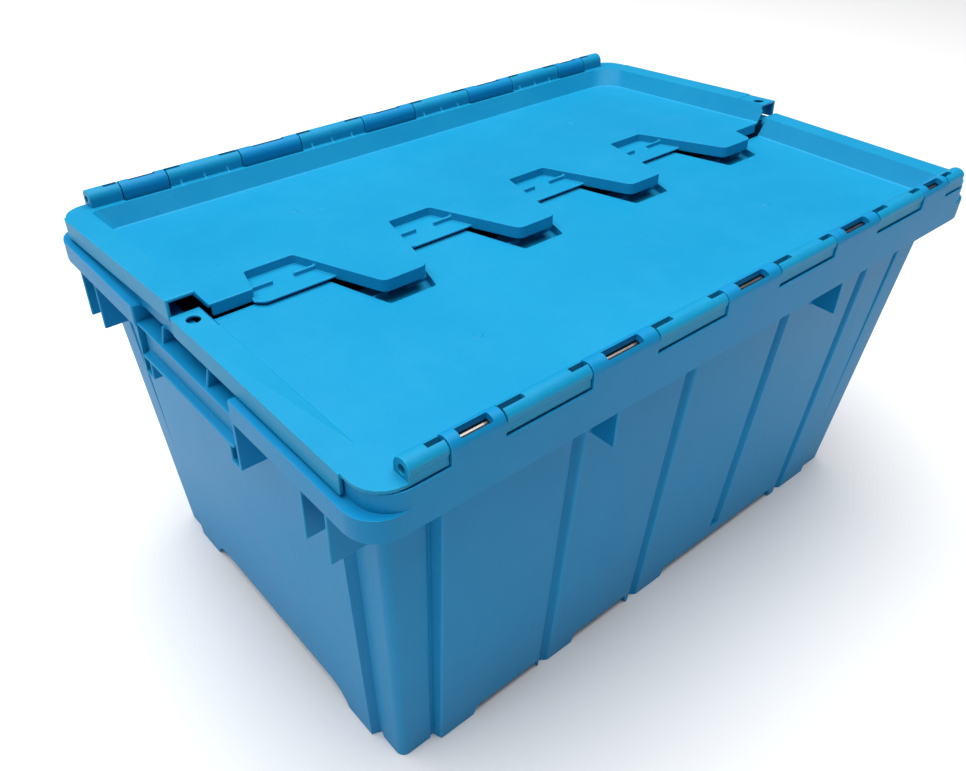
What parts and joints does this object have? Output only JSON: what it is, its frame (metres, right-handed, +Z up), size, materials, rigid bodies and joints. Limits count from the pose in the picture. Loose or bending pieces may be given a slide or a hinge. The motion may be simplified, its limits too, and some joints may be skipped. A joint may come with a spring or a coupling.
{
  "type": "attached-lid stacking crate",
  "caption": "Tapered rectangular storage crate with a hinged, interlocking two-piece lid, hand-holds at both ends and stacking feet.",
  "frame": {"origin": "on the floor, under the middle of the tub", "axes": "+X along the long side, +Y towards the rear lid's hinge, +Z up"},
  "size_m": [0.6, 0.4, 0.312],
  "materials": {
    "tub_plastic": "satin moulded polypropylene",
    "lid_plastic": "satin moulded polypropylene",
    "rod_steel": "drawn wire"
  },
  "bodies": {
    "tub": {"tub": "tub_plastic", "hinge_rod_front": "rod_steel", "hinge_rod_rear": "rod_steel"},
    "rear_lid": {"lid_rear": "lid_plastic"},
    "front_lid": {"lid_front": "lid_plastic"}
  },
  "joints": [
    {"name": "rear_lid_hinge", "type": "hinge", "parent": "tub", "child": "rear_lid", "pos_m": [0, 0.193, 0.305], "axis": [-1, 0, 0], "range_deg": [0, 250]},
    {"name": "front_lid_hinge", "type": "hinge", "parent": "tub", "child": "front_lid", "pos_m": [0, -0.193, 0.305], "axis": [1, 0, 0], "range_deg": [0, 162.5]}
  ],
  "couplings": [
    {"joint": "front_lid_hinge", "follows": "rear_lid_hinge", "ratio": 0.65}
  ]
}
